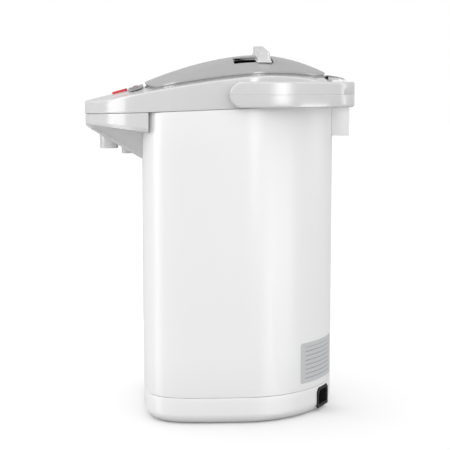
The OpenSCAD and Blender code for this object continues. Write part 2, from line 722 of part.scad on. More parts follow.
outer_casing();
base_cover();
bottom_plate();
rubber_feet();
base_screws();
gauge_window();
rating_plate();
power_inlet();
inlet_pins();
relay_board();
collar();
inner_deck();
beak_lower();
control_panel();
indicator_lenses();
control_board();
dispense_button();
reboil_button();
unlock_button();
tact_switches();
nozzle();
drip_guide();
spout_elbow();
riser_pipe();
pump_housing();
pump_motor();
impeller();
inlet_hose();
inner_pot();
pot_seal();
band_heater();
base_heater();
thermostat();
pot_support();
hinge_block();
hinge_pin();
lid_outer();
lid_inner();
lid_gasket();
steam_cap();
latch_bar();
latch_plate();
release_lever();
handle();
handle_pivots();
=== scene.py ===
"""Electric thermo pot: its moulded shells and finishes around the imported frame.

Lengths are written in millimetres and become metres when a mesh is made. Z is up, the spout
points to -Y, the lid hinge is at +Y and the power inlet is on the +X side of the back.
"""

import math

import bmesh
import bpy
import numpy as np
from mathutils import Matrix, Vector


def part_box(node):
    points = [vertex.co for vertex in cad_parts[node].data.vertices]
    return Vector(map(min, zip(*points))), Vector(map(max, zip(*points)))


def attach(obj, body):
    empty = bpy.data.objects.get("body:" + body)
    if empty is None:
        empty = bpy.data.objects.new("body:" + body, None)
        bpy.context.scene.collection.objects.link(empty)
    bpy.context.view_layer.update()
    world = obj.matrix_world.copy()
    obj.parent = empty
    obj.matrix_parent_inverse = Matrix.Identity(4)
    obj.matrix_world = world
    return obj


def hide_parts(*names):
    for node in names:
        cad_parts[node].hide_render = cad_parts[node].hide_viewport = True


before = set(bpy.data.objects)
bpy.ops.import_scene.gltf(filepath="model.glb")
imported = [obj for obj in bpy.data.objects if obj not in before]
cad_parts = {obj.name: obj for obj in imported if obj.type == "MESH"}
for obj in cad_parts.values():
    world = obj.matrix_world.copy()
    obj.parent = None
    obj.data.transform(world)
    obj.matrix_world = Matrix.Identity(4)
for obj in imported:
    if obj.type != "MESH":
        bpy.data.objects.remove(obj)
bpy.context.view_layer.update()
MM = 0.001

# ---- camera: the photograph's viewpoint, nearly square to the side of the pot ----

CAMERA_AZIMUTH = math.radians(86)
CAMERA_DISTANCE = 1308.2
CAMERA_HEIGHT = 349.6
CAMERA_PITCH = math.radians(6.717)
CAMERA_YAW = math.radians(-0.68)
FOCAL_PIXELS = 1200
IMAGE_PIXELS = 450
SENSOR = 36.0
CLIP = (0.05, 60)     # nearest and farthest seen, in metres


def make_camera():
    """Places the camera on its circle round the pot, turned by the yaw and then tipped down."""
    ahead = Vector((-math.sin(CAMERA_AZIMUTH), math.cos(CAMERA_AZIMUTH), 0))
    right = Vector((math.cos(CAMERA_AZIMUTH), math.sin(CAMERA_AZIMUTH), 0))
    up = Vector((0, 0, 1))
    turned = math.cos(CAMERA_YAW) * ahead + math.sin(CAMERA_YAW) * right
    right = math.cos(CAMERA_YAW) * right - math.sin(CAMERA_YAW) * ahead
    look = math.cos(CAMERA_PITCH) * turned - math.sin(CAMERA_PITCH) * up
    top = math.cos(CAMERA_PITCH) * up + math.sin(CAMERA_PITCH) * turned
    data = bpy.data.cameras.new("camera")
    data.sensor_width = SENSOR
    data.lens = FOCAL_PIXELS / IMAGE_PIXELS * SENSOR
    data.clip_start, data.clip_end = CLIP
    camera = bpy.data.objects.new("camera", data)
    place = -ahead * CAMERA_DISTANCE + up * CAMERA_HEIGHT
    camera.matrix_world = Matrix((
        (right.x, top.x, -look.x, place.x * MM),
        (right.y, top.y, -look.y, place.y * MM),
        (right.z, top.z, -look.z, place.z * MM),
        (0, 0, 0, 1),
    ))
    bpy.context.scene.collection.objects.link(camera)
    bpy.context.scene.camera = camera


make_camera()

# ---- sizes, read from the frame where a node gives them ----


def span(node, axis):
    """Lowest and highest value of a node along an axis, in millimetres."""
    low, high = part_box(node)
    return low[axis] / MM, high[axis] / MM


HALF_W = span("outer_casing", 0)[1]
FRONT_R = -span("outer_casing", 1)[0]
REAR_R = span("outer_casing", 1)[1]
FRONT_N, REAR_N = 5, 1.85             # how square the casing is in front and behind
FLOOR_Z, BASE_Z = span("base_cover", 2)
SEAM_Z, SEAM_SLOPE = 325, 0.042       # joint under the collar at the axis, and its rise to the rear
WALL = 2.4
SEAM_GAP = 0.35                       # shadow gap at each joint
EDGE = 0.7                            # radius of the moulded edges
AROUND = 288                          # points round each outline
GATHER = 0.72                         # how much closer together they are at its sides
BEAK_REACH = -span("collar", 1)[0]
BEAK_ROOT = -30                       # where the beak leaves the casing's plan
BEAK_REAR = span("beak_lower", 1)[1]
BEAK_N = 2.1
CROWN_Y, CROWN_Z = 17, 380.2          # highest point of the lid
DOME_N = (0.3, 0.05)                  # how the dome is rounder in front and flatter behind
RIM_Y, RIM_Z = 25, 362.5
RIM_FRONT = (18, 132, 1.6)            # fall, run and exponent of the lid rim toward each end
RIM_REAR = (7, 67, 3)
RIM_HUMP = 6                          # and its rise across the middle
EDGE_Y, EDGE_DROP = 20, 5             # the collar's highest edge: its y, and how far under RIM_Z
EDGE_FRONT = (24, 160, 1.35)          # its fall toward each end
EDGE_REAR = (9, 81, 2.2)
EDGE_HUMP = 3.4
HUMP_X = 55                           # half width of both rises
WELL_W, WELL_F, WELL_R = 88, 103, 93  # half width of the lid opening, its reach to each end
WELL_N = (2.6, 2.1)
DECK_Z = span("inner_deck", 2)[0]
LID_GAP = 1
LID_STEP = 4.2                        # how far the lid's rim stands over the collar
SHOULDER = 2.2                        # radius of the collar's outer top edge
SLOT_X, SLOT_Y = (29, 60), (-9.5, 31.5)
SLOT_MIDDLE = (sum(SLOT_X) / 2, sum(SLOT_Y) / 2)
FIN_X, FIN_Y = span("latch_bar", 0), (16.5, 27.5)
FIN_TOP = (390.2, 381.2)              # top of the latch bar at both ends
PIVOT_Y = -4
PIVOT_Z = sum(span("handle", 2)) / 2
STRAP_H = span("handle", 2)[1] - span("handle", 2)[0]
STRAP_OUT, STRAP_IN = span("handle", 0)[1], 104.6
STRAP_REAR = span("handle", 1)[1]
STRAP_REAR_IN = STRAP_REAR - 5.6
INLET_AT, INLET_ANGLE = (46, 86.3, 14.8), math.radians(60)
INLET_W, INLET_H = 26, 20
PLATE_ANGLES = (37, 77)               # the rating plate, counted round from +X
PLATE_Z = span("rating_plate", 2)

# ---- outlines and surface heights, as in the frame ----


def turn_angles(count=AROUND):
    """Angles once round, less a share of the sine of twice the angle, so closer at the sides."""
    u = np.linspace(0, 2 * np.pi, count, endpoint=False)
    return u - GATHER / 2 * np.sin(2 * u)


def power(value, exponent):
    """The exponent of the size of value, with the sign of value."""
    return np.sign(value) * np.abs(value) ** exponent


def egg(t, width, front, rear, front_n, rear_n):
    """Superellipse whose reach and squareness differ in front of and behind the X axis."""
    s, c = np.sin(t), np.cos(t)
    ahead = s < 0
    n = np.where(ahead, front_n, rear_n)
    reach = np.where(ahead, front, rear)
    return np.stack([width * power(c, 2 / n), reach * power(s, 2 / n)], -1)


def body_outline(t, inset=0.0):
    """Plan of the casing, drawn in by inset."""
    return egg(t, HALF_W - inset, FRONT_R - inset, REAR_R - inset, FRONT_N, REAR_N)


def collar_outline(t, inset=0.0):
    """The casing's plan behind, and a rounded beak from BEAK_ROOT forward, outside the casing."""
    s, c = np.sin(t), np.cos(t)
    ahead = s < 0
    n = np.where(ahead, BEAK_N, REAR_N)
    x = (HALF_W - inset) * power(c, 2 / n)
    y_front = BEAK_ROOT + (BEAK_REACH + BEAK_ROOT - inset) * power(s, 2 / n)
    y_rear = (REAR_R - inset) * power(s, 2 / n)
    y = np.where(ahead, y_front, y_rear)
    share = np.clip(-y / (FRONT_R - inset), 0, 1)
    casing = (HALF_W - inset) * (1 - share ** FRONT_N) ** (1 / FRONT_N)
    x = np.where(ahead, np.sign(x) * np.maximum(np.abs(x), casing), x)
    return np.stack([x, y], -1)


def well_outline(t, out=0.0):
    """Plan of the lid opening, let out by out."""
    return egg(t, WELL_W + out, WELL_F + out, WELL_R + out, *WELL_N)


def along_rays(outline, angles):
    """An outline read off where rays from the origin at the given angles meet it."""
    heading = np.arctan2(outline[:, 1], outline[:, 0])
    return np.stack([np.interp(angles, heading, line, period=2 * np.pi) for line in outline.T], -1)


def joint_z(y):
    """Height of the joint under the collar, a plane that rises to the rear."""
    return SEAM_Z + SEAM_SLOPE * y


def fall(y, start, front, rear):
    """How far a surface has fallen at y, given the fall, run and exponent on each side of start."""
    ahead = front[0] * (np.maximum(start - y, 0) / front[1]) ** front[2]
    behind = rear[0] * (np.maximum(y - start, 0) / rear[1]) ** rear[2]
    return ahead + behind


def hump(x, high):
    """A rise across the middle, high on the axis, that falls with the square of x to nothing."""
    return high * np.maximum(0, 1 - (x / HUMP_X) ** 2)


def rim_top(x, y):
    """Height of the lid rim: highest beside the crown, lower at both ends."""
    return RIM_Z - fall(y, RIM_Y, RIM_FRONT, RIM_REAR) + hump(x, RIM_HUMP)


def edge_top(x, y):
    """Height of the outer top edge of the collar, raised at the tip of the beak."""
    rise = np.where(y < 0, hump(x, EDGE_HUMP), 0)
    return RIM_Z - EDGE_DROP - fall(y, EDGE_Y, EDGE_FRONT, EDGE_REAR) + rise


def groove_z(x, y):
    """Height of the collar where it meets the lid: under its step, and behind near the edge's."""
    return np.minimum(rim_top(x, y) - LID_STEP - 0.3, np.where(y > 0, edge_top(x, y) + 4, RIM_Z))


def lift(outline, z):
    """An outline at height z, a number or one height for each point."""
    return np.concatenate([outline, np.broadcast_to(z, outline.shape[:1])[:, None]], 1)


def dome(t, fraction, out, rise_by=0.0):
    """The lid outline drawn in toward the crown, on a dome that falls with about the square."""
    x, y = well_outline(t, out).T
    rise = CROWN_Z - rim_top(x, y)
    exponent = 2 + np.where(y < 0, DOME_N[0] * y / WELL_F, -DOME_N[1] * y / WELL_R)
    xy = np.stack([x * fraction, CROWN_Y + (y - CROWN_Y) * fraction], 1)
    return lift(xy, CROWN_Z + rise_by - rise * fraction ** exponent)


def crown_at(x):
    """Height of the lid round the latch slot, which falls with the square of x."""
    return CROWN_Z - (CROWN_Z - RIM_Z) * (np.abs(x) / (WELL_W - LID_GAP)) ** 2


# ---- meshes ----

SMOOTH_ANGLE = math.radians(38)       # edges sharper than this stay sharp
BEVEL_ANGLE = math.radians(40)        # and those of a CAD shape that are sharper are rounded


def mesh_object(name, points, faces):
    """A mesh object from points in millimetres, shaded smooth."""
    mesh = bpy.data.meshes.new(name)
    mesh.from_pydata((np.asarray(points, float) * MM).tolist(), [], faces)
    mesh.update()
    obj = bpy.data.objects.new(name, mesh)
    bpy.context.scene.collection.objects.link(obj)
    smooth(obj)
    return obj


def smooth(obj):
    """Shades a mesh smooth and keeps its sharp edges."""
    obj.data.polygons.foreach_set("use_smooth", [True] * len(obj.data.polygons))
    obj.data.set_sharp_from_angle(angle=SMOOTH_ANGLE)


def quads(rows, columns, loop=False):
    """Faces of a grid of rows by columns, its columns wrapped round, and its rows too with loop."""
    i, j = np.meshgrid(np.arange(rows if loop else rows - 1), np.arange(columns), indexing="ij")
    i, j = i.ravel(), j.ravel()
    down, along = (i + 1) % rows, (j + 1) % columns
    return np.stack([i * columns + j, i * columns + along,
                     down * columns + along, down * columns + j], 1).tolist()


def fan(start, columns, centre, flip=False):
    """Triangles from the ring whose first point is start to a centre point."""
    j = np.arange(columns)
    edge = (start + j, start + (j + 1) % columns)
    return np.stack([*(edge[::-1] if flip else edge), np.full(columns, centre)], 1).tolist()


def loft(name, rings, loop=False):
    """A closed skin through rings of equal length. loop joins the last ring to the first."""
    rings = np.asarray(rings, float)
    rows, columns = rings.shape[:2]
    points = rings.reshape(-1, 3)
    faces = quads(rows, columns, loop)
    if not loop:
        points = np.vstack([points, rings[0].mean(0), rings[-1].mean(0)])
        faces += fan(0, columns, rows * columns, flip=True)
        faces += fan((rows - 1) * columns, columns, rows * columns + 1)
    return outward(mesh_object(name, points, faces))


def outward(obj):
    """Turns every face outwards."""
    work = bmesh.new()
    work.from_mesh(obj.data)
    bmesh.ops.remove_doubles(work, verts=work.verts, dist=1e-7)
    bmesh.ops.recalc_face_normals(work, faces=work.faces)
    work.to_mesh(obj.data)
    work.free()
    smooth(obj)
    return obj


def applied(obj):
    """The object with its modifiers applied to its mesh."""
    view = bpy.context.evaluated_depsgraph_get()
    view.update()
    mesh = bpy.data.meshes.new_from_object(obj.evaluated_get(view))
    obj.modifiers.clear()
    obj.data = mesh
    smooth(obj)
    return obj


def cut(obj, *cutters):
    """Takes each cutter's solid out of the object, and removes the cutters."""
    for cutter in cutters:
        step = obj.modifiers.new("cut", "BOOLEAN")
        step.operation = "DIFFERENCE"
        step.solver = "EXACT"
        step.object = cutter
    bpy.context.view_layer.update()
    applied(obj)
    for cutter in cutters:
        bpy.data.objects.remove(cutter)


def rounded_rect(width, height, radius):
    """Points anticlockwise round a rectangle with round corners, centred on the origin."""
    corners = []
    for k, (sx, sy) in enumerate(((1, 1), (-1, 1), (-1, -1), (1, -1))):
        a = np.radians(90 * k + np.linspace(0, 90, 7))
        middle = np.array([sx * (width / 2 - radius), sy * (height / 2 - radius)])
        corners.append(middle + radius * np.stack([np.cos(a), np.sin(a)], 1))
    return np.vstack(corners)


def filled_in(outline, step):
    """An outline with points added along its sides, so that no side is longer than step."""
    points = []
    for a, b in zip(outline, np.roll(outline, -1, axis=0)):
        count = max(1, math.ceil(np.hypot(*(b - a)) / step))
        points += [a + (b - a) * k / count for k in range(count)]
    return np.array(points)


def prism(name, outline, low, high, edge):
    """An upright solid on a plan outline, with its top and bottom edges rounded by edge."""
    centre = outline.mean(0)
    reach = np.abs(outline - centre).max(0)
    rings = []
    for z0, side in ((low, -1), (high, 1)):
        a = np.radians(np.linspace(0, 90, 5))
        for b in (a[::-1] if side < 0 else a):
            drawn = centre + (outline - centre) * (1 - edge * (1 - np.cos(b)) / reach)
            rings.append(lift(drawn, z0 - side * edge * (1 - np.sin(b))))
    return loft(name, rings)


def box_solid(name, low, high):
    """A plain box between two corners, for cutting."""
    x, y = (low[0], high[0]), (low[1], high[1])
    outline = np.array([(x[0], y[0]), (x[1], y[0]), (x[1], y[1]), (x[0], y[1])], float)
    return loft(name, [lift(outline, low[2]), lift(outline, high[2])])


def softened(node, width):
    """A copy of a CAD node's shape with its sharp edges rounded by width millimetres."""
    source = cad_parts[node]
    mesh = source.data.copy()
    mesh.name = node + "_moulded"
    work = bmesh.new()
    work.from_mesh(mesh)
    bmesh.ops.remove_doubles(work, verts=work.verts, dist=1e-6)
    bmesh.ops.dissolve_limit(work, angle_limit=math.radians(1), verts=work.verts, edges=work.edges)
    work.to_mesh(mesh)
    work.free()
    mesh.materials.clear()
    for attribute in [a.name for a in mesh.attributes if a.name.startswith("custom_normal")]:
        mesh.attributes.remove(mesh.attributes[attribute])
    obj = bpy.data.objects.new(mesh.name, mesh)
    bpy.context.scene.collection.objects.link(obj)
    step = obj.modifiers.new("edges", "BEVEL")
    step.width = width * MM
    step.segments = 3
    step.limit_method = "ANGLE"
    step.angle_limit = BEVEL_ANGLE
    step.harden_normals = False
    return applied(obj)


# ---- materials ----


def linear(code):
    """Linear colour of an sRGB hex value such as F1F2F4."""
    s = np.array([int(code[i:i + 2], 16) for i in (0, 2, 4)]) / 255
    return (*np.where(s <= 0.04045, s / 12.92, ((s + 0.055) / 1.055) ** 2.4).tolist(), 1.0)


def node(tree, kind, settings=None, **links):
    """Adds a node, sets its properties and sockets, and links sockets to other nodes' outputs."""
    made = tree.nodes.new(kind)
    for key, value in (settings or {}).items():
        if isinstance(key, str) and hasattr(made, key):
            setattr(made, key, value)
        else:
            made.inputs[key].default_value = value
    for key, source in links.items():
        socket = int(key[1:]) if key[0] == "i" and key[1:].isdigit() else key
        tree.links.new(source, made.inputs[socket])
    return made


def empty_tree(owner):
    """The node tree of a material or world, with nothing in it."""
    owner.use_nodes = True
    owner.node_tree.nodes.clear()
    return owner.node_tree


def surface(name, **sockets):
    """A new material with its tree, its main shader and its Object coordinates."""
    material = bpy.data.materials.new(name)
    tree = empty_tree(material)
    shader = node(tree, "ShaderNodeBsdfPrincipled", sockets)
    node(tree, "ShaderNodeOutputMaterial", i0=shader.outputs[0])
    place = node(tree, "ShaderNodeTexCoord").outputs["Object"]
    return material, tree, shader, place


DRIFT_MM = 71.4       # size of the slow changes of gloss and colour over a moulded piece
RIPPLE_MM = 16.7      # and of the ripple in a clear one


def moulded(name, colour, rough, spread, grain_mm, depth_mm, ior, tint):
    """Moulded plastic: roughness and colour drift slowly over the piece, over a fine grain."""
    material, tree, shader, place = surface(name, IOR=ior)
    drift = node(tree, "ShaderNodeTexNoise", {"Scale": 1 / (DRIFT_MM * MM), "Detail": 3.0},
                 Vector=place)
    limits = {"To Min": rough - spread, "To Max": rough + spread}
    rough_map = node(tree, "ShaderNodeMapRange", limits, Value=drift.outputs["Fac"])
    tree.links.new(rough_map.outputs[0], shader.inputs["Roughness"])
    base = np.array(linear(colour)[:3])
    ramp = node(tree, "ShaderNodeValToRGB", Fac=drift.outputs["Fac"])
    ramp.color_ramp.elements[0].color = (*(base * (1 - tint)), 1)
    ramp.color_ramp.elements[1].color = (*np.minimum(base * (1 + tint), 1), 1)
    tree.links.new(ramp.outputs[0], shader.inputs["Base Color"])
    grain = node(tree, "ShaderNodeTexNoise", {"Scale": 1 / (grain_mm * MM), "Detail": 2.0},
                 Vector=place)
    bump = node(tree, "ShaderNodeBump", {"Strength": 0.35, "Distance": depth_mm * MM},
                Height=grain.outputs["Fac"])
    tree.links.new(bump.outputs[0], shader.inputs["Normal"])
    return material


def brushed(name, colour, rough, line_mm):
    """Drawn or turned steel: a noise drawn out into lines, by its size in mm along each axis."""
    material, tree, shader, place = surface(name, Metallic=1.0)
    shader.inputs["Base Color"].default_value = linear(colour)
    squeezed = node(tree, "ShaderNodeMapping", {"Scale": [1 / (size * MM) for size in line_mm]},
                    Vector=place)
    lines = node(tree, "ShaderNodeTexNoise", {"Scale": 1.0, "Detail": 3.0},
                 Vector=squeezed.outputs[0])
    spread = node(tree, "ShaderNodeMapRange", {"To Min": rough - 0.08, "To Max": rough + 0.1},
                  Value=lines.outputs["Fac"])
    tree.links.new(spread.outputs[0], shader.inputs["Roughness"])
    bump = node(tree, "ShaderNodeBump", {"Strength": 0.2, "Distance": 0.02 * MM},
                Height=lines.outputs["Fac"])
    tree.links.new(bump.outputs[0], shader.inputs["Normal"])
    return material


def clear(name, colour, rough, ior, weight):
    """Clear moulded plastic, tinted by its colour, with a slow ripple in its skin."""
    material, tree, shader, place = surface(name, IOR=ior, Roughness=rough)
    shader.inputs["Base Color"].default_value = linear(colour)
    shader.inputs["Transmission Weight"].default_value = weight
    ripple = node(tree, "ShaderNodeTexNoise", {"Scale": 1 / (RIPPLE_MM * MM)}, Vector=place)
    bump = node(tree, "ShaderNodeBump", {"Strength": 0.1, "Distance": 0.05 * MM},
                Height=ripple.outputs["Fac"])
    tree.links.new(bump.outputs[0], shader.inputs["Normal"])
    return material


# Glossy ABS: polished tool, so the reflections are clean with a faint orange peel 6 mm across
WHITE_ABS = moulded("white_gloss_abs", "F2F2F2", 0.34, 0.02, 6, 0.010, 1.5, 0.004)
BASE_ABS = moulded("white_gloss_abs_base", "EFEFEF", 0.34, 0.02, 6, 0.010, 1.5, 0.004)
GREY_ABS = moulded("light_grey_gloss_abs", "D8D8D8", 0.16, 0.02, 5, 0.006, 1.5, 0.006)
# The lid's copy of the light grey gloss, also on its hinge arm and slot lining: made darker than
# the collar's grey as painted shade on the lid's upward-facing top
LID_GREY_PAINTED_SHADE = moulded("lid_grey_abs_painted_shade", "ABABAB", 0.18, 0.02, 5, 0.006, 1.5, 0.006)
# Satin polypropylene of the parts that meet steam: soft highlights
SATIN_PP = moulded("satin_white_polypropylene", "E2E1DC", 0.42, 0.05, 1.2, 0.02, 1.49, 0.02)
# Black PBT of the inlet and switches: dull, fine spark-eroded grain
BLACK_PBT = moulded("black_pbt", "0D0D0E", 0.5, 0.06, 0.5, 0.02, 1.4, 0.1)
# Panel of smoke acrylic, then buttons of polycarbonate: hard and glossy, with a slight orange peel
SMOKE_PANEL = moulded("smoke_acrylic_panel", "8C8D90", 0.16, 0.02, 8, 0.004, 1.49, 0.01)
RED_BUTTON = moulded("red_polycarbonate_button", "D8343B", 0.22, 0.02, 4, 0.006, 1.58, 0.02)
GREY_BUTTON = moulded("grey_polycarbonate_button", "9A9B9F", 0.26, 0.02, 4, 0.006, 1.58, 0.02)
# Soft parts: dull nitrile rubber and milky silicone with a fine skin
RUBBER_FOOT = moulded("black_nitrile_rubber", "222224", 0.75, 0.06, 0.8, 0.05, 1.52, 0.08)
SILICONE = moulded("milky_silicone_rubber", "E4E2DC", 0.55, 0.05, 1.0, 0.02, 1.41, 0.02)
# Inside: solder mask, woven mica with its metal band, and baked enamel
BOARD = moulded("green_solder_mask", "1B5A36", 0.35, 0.05, 2, 0.03, 1.55, 0.1)
MICA_BAND = moulded("mica_heater_band", "B49F72", 0.5, 0.08, 3, 0.05, 1.56, 0.12)
MOTOR_PAINT = moulded("dark_motor_enamel", "4A4D52", 0.45, 0.06, 1.5, 0.03, 1.5, 0.05)
# Deep-drawn 18/8 steel: lines run round the pot, drawn coarser than real ones so that they show
POT_STEEL = brushed("deep_drawn_stainless", "C9CBCE", 0.26, (25.6, 25.6, 0.64))
# Turned steel of the pins and screws: the cutter's marks, drawn coarse for the same reason
PIN_STEEL = brushed("turned_steel", "C4C6C8", 0.22, (0.64, 3.85, 3.85))
# Clear acrylic, polished, with a faint ripple of its mould
LENS = clear("red_lens_acrylic", "E0483A", 0.12, 1.49, 0.4)
GAUGE = clear("clear_gauge_acrylic", "DDE6EA", 0.05, 1.49, 0.85)

RULES = 9.0           # ruled lines on the rating plate
RULE_SHARE = 0.16     # share of their spacing that is printed
RULED = 0.40          # how far they reach from the plate's middle, as a share of its size


def label_film():
    """Printed polyester film: a pale ground with plain ruled lines."""
    material, tree, shader, _ = surface("printed_polyester_film", Roughness=0.34, IOR=1.5)
    uv = node(tree, "ShaderNodeUVMap", {"uv_map": "sheet"})
    split = node(tree, "ShaderNodeSeparateXYZ", Vector=uv.outputs[0])
    count = node(tree, "ShaderNodeMath", {"operation": "MULTIPLY", 1: RULES},
                 i0=split.outputs["Y"])
    rule = node(tree, "ShaderNodeMath", {"operation": "FRACT"}, i0=count.outputs[0])
    thin = node(tree, "ShaderNodeMath", {"operation": "LESS_THAN", 1: RULE_SHARE},
                i0=rule.outputs[0])
    near = {"operation": "COMPARE", 1: 0.5, 2: RULED}
    ends = node(tree, "ShaderNodeMath", near, i0=split.outputs["X"])
    tops = node(tree, "ShaderNodeMath", near, i0=split.outputs["Y"])
    inside = node(tree, "ShaderNodeMath", {"operation": "MULTIPLY"}, i0=ends.outputs[0],
                  i1=tops.outputs[0])
    lines = node(tree, "ShaderNodeMath", {"operation": "MULTIPLY"}, i0=thin.outputs[0],
                 i1=inside.outputs[0])
    mix = node(tree, "ShaderNodeMix", {"data_type": "RGBA"}, i0=lines.outputs[0])
    mix.inputs[6].default_value = linear("C9CACC")
    mix.inputs[7].default_value = linear("8E9094")
    tree.links.new(mix.outputs[2], shader.inputs["Base Color"])
    return material


LABEL_FILM = label_film()


def finish_piece(obj, material, body, slot_name, *nodes):
    """Gives a new piece its material and its body, and hides the nodes it stands for; its record
    slot is not used.
    """
    obj.data.materials.clear()
    obj.data.materials.append(material)
    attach(obj, body)
    if nodes:
        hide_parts(*nodes)


def dress(material, *names):
    """Puts a material on CAD nodes that keep their shape."""
    for name in names:
        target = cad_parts[name]
        for place in target.material_slots:
            place.link = "OBJECT"
            place.material = material


# ---- casing and base ----

t = turn_angles()
BASE_TURN = (8.0, 10.0)               # inset and rise of the base ring's turn at the floor
BASE_TURN_N = 1.15
BASE_WALL = 2.5
FILM_OUT, FILM_THICK = 0.15, 0.2      # the rating film: how far out it lies, and its thickness
FILM_CORNER = 2.4
FILM_WALL = (20, 100)                 # the stretch of wall that it is laid on, from +X


def edge_arc(start, stop):
    """Inset and height along a moulded edge, both counted from its corner."""
    a = np.radians(np.linspace(start, stop, 5))
    return EDGE * (1 - np.cos(a)), EDGE * (np.sin(a) - 1)


def casing_rings():
    """Wall of the casing: outer face with round edges at both joints, and its inner face."""
    rings = []
    for i, d in zip(*edge_arc(90, 0)):
        rings.append(lift(body_outline(t, i), BASE_Z + SEAM_GAP - d))
    for share in np.linspace(0, 1, 9):
        p = body_outline(t)
        low, high = BASE_Z + SEAM_GAP + EDGE, joint_z(p[:, 1]) - SEAM_GAP - EDGE
        rings.append(lift(p, low + (high - low) * share))
    for i, d in list(zip(*edge_arc(0, 90)))[1:]:
        p = body_outline(t, i)
        rings.append(lift(p, joint_z(p[:, 1]) - SEAM_GAP + d))
    p = body_outline(t, WALL)
    rings += [lift(p, joint_z(p[:, 1]) - SEAM_GAP), lift(p, BASE_Z + SEAM_GAP)]
    return rings


casing = loft("casing_shell", casing_rings(), loop=True)
gauge_low, gauge_high = span("gauge_window", 2)
gauge_half = span("gauge_window", 0)[1] + 0.2
window = rounded_rect(2 * gauge_half, gauge_high - gauge_low + 0.4, 3)
window_x, window_z = (window + (0, (gauge_low + gauge_high) / 2)).T
gauge_cut = loft("gauge_cut", [np.stack([window_x, np.full(len(window), y), window_z], 1)
                               for y in (-FRONT_R - 10, -FRONT_R + 10)])
cut(casing, gauge_cut)
finish_piece(casing, WHITE_ABS, "root", "white_gloss", "outer_casing")


def base_rings():
    """Base ring: a long soft turn at the floor, an upright face and a round edge at the joint."""
    turn_in, turn_up = BASE_TURN
    face = BASE_Z - FLOOR_Z - turn_up - EDGE
    rings = []
    for a in np.radians(np.linspace(0, 90, 13)):
        rings.append(lift(body_outline(t, turn_in * (1 - np.sin(a) ** BASE_TURN_N)),
                          FLOOR_Z + turn_up * (1 - np.cos(a) ** BASE_TURN_N)))
    for share in (0.33, 0.66):
        rings.append(lift(body_outline(t), FLOOR_Z + turn_up + share * face))
    for i, d in zip(*edge_arc(0, 90)):
        rings.append(lift(body_outline(t, i), BASE_Z + d))
    inner = body_outline(t, BASE_WALL)
    rings += [lift(inner, BASE_Z), lift(inner, FLOOR_Z + turn_up),
              lift(body_outline(t, 8.2), FLOOR_Z + 3)]
    return rings


def at_inlet(points):
    """Turns and moves points from the frame of the power inlet, whose x leaves the body."""
    c, s = math.cos(INLET_ANGLE), math.sin(INLET_ANGLE)
    turned = np.asarray(points, float) @ np.array([[c, s, 0], [-s, c, 0], [0, 0, 1]])
    return turned + np.array(INLET_AT)


base = loft("base_ring", base_rings(), loop=True)
half_w, half_h = INLET_W / 2, INLET_H / 2
mouth = np.array([(-half_w, -half_h), (half_w, -half_h), (half_w, half_h), (-half_w, half_h)])
inlet_cut = loft("inlet_cut", [
    at_inlet(np.stack([np.full(4, x), mouth[:, 0], mouth[:, 1]], 1)) for x in (-14.0, 18.0)])
cut(base, inlet_cut)
finish_piece(base, BASE_ABS, "root", "white_gloss", "base_cover")


def rating_sheet():
    """Thin film on the casing: a rounded rectangle laid on the wall, as rings about its middle."""
    middle_a, middle_z = sum(PLATE_ANGLES) / 2, sum(PLATE_Z) / 2
    high = PLATE_Z[1] - PLATE_Z[0]
    dense = np.linspace(0, 2 * np.pi, 4001)
    wall = body_outline(dense, -FILM_OUT)
    heading = np.degrees(np.arctan2(wall[:, 1], wall[:, 0]))
    keep = (heading > FILM_WALL[0]) & (heading < FILM_WALL[1])
    wall, heading = wall[keep], heading[keep]
    length = np.concatenate([[0], np.cumsum(np.hypot(*np.diff(wall, axis=0).T))])
    wide = np.ptp(np.interp(PLATE_ANGLES, heading, length))
    outline = filled_in(rounded_rect(wide, high, FILM_CORNER), 1.5)
    length -= np.interp(middle_a, heading, length)
    shares = np.linspace(1, 0, 9)[:-1]
    columns = len(outline)
    flat = np.vstack([outline * share for share in shares] + [[0, 0]])
    points = np.stack([np.interp(flat[:, 0], length, wall[:, 0]),
                       np.interp(flat[:, 0], length, wall[:, 1]), middle_z + flat[:, 1]], 1)
    uv = flat / (wide, high) + 0.5
    faces = quads(len(shares), columns)
    faces += fan((len(shares) - 1) * columns, columns, len(points) - 1)
    obj = mesh_object("rating_film", points, faces)
    layer = obj.data.uv_layers.new(name="sheet")
    corner = np.empty(len(obj.data.loops), np.int32)
    obj.data.loops.foreach_get("vertex_index", corner)
    layer.data.foreach_set("uv", uv[corner].ravel())
    thick = obj.modifiers.new("film", "SOLIDIFY")
    thick.thickness = FILM_THICK * MM
    thick.offset = 1
    return applied(obj)


finish_piece(rating_sheet(), LABEL_FILM, "root", "plate_grey", "rating_plate")

# ---- collar ----

HINGE_HALF = 17.5                     # half width of the hinge opening
HINGE_Z = (341.5, 371.5)              # its lower and upper edge
BEAK_TILT = math.radians(15.6)
BEAK_CROWN = 0.0019                   # how the top of the beak falls with the square of x
PANEL_TOP = 348.9                     # its height at the front of the lid opening
BUTTON_AT = ((-24, -112.5), (0, -129), (24, -112.5))
BUTTON_SIZE = ((14, 9), (30, 16), (14, 9))
ROOF, ROOF_EDGE = 3.5, 3              # thickness of its top, and of its outer edge at the axis
ROOF_SLOPE = 0.2                      # and how fast that thins toward the beak
ROOF_TURN = ((WALL + 3, 5), (WALL, 8))            # turn inside its outer edge: inset and depth
LUG_X, LUG_Z = 86.1, (346.7, 350.1)   # the lugs over the latch plate: their middle and heights


def at_beak(points, x, y):
    """Tips points by the slope of the beak top and moves them onto it at x, y."""
    c, s = math.cos(BEAK_TILT), math.sin(BEAK_TILT)
    height = PANEL_TOP + (WELL_F + y) * math.tan(BEAK_TILT) - BEAK_CROWN * x * x
    return np.asarray(points, float) @ np.array([[1, 0, 0], [0, c, s], [0, -s, c]]) + (x, y, height)


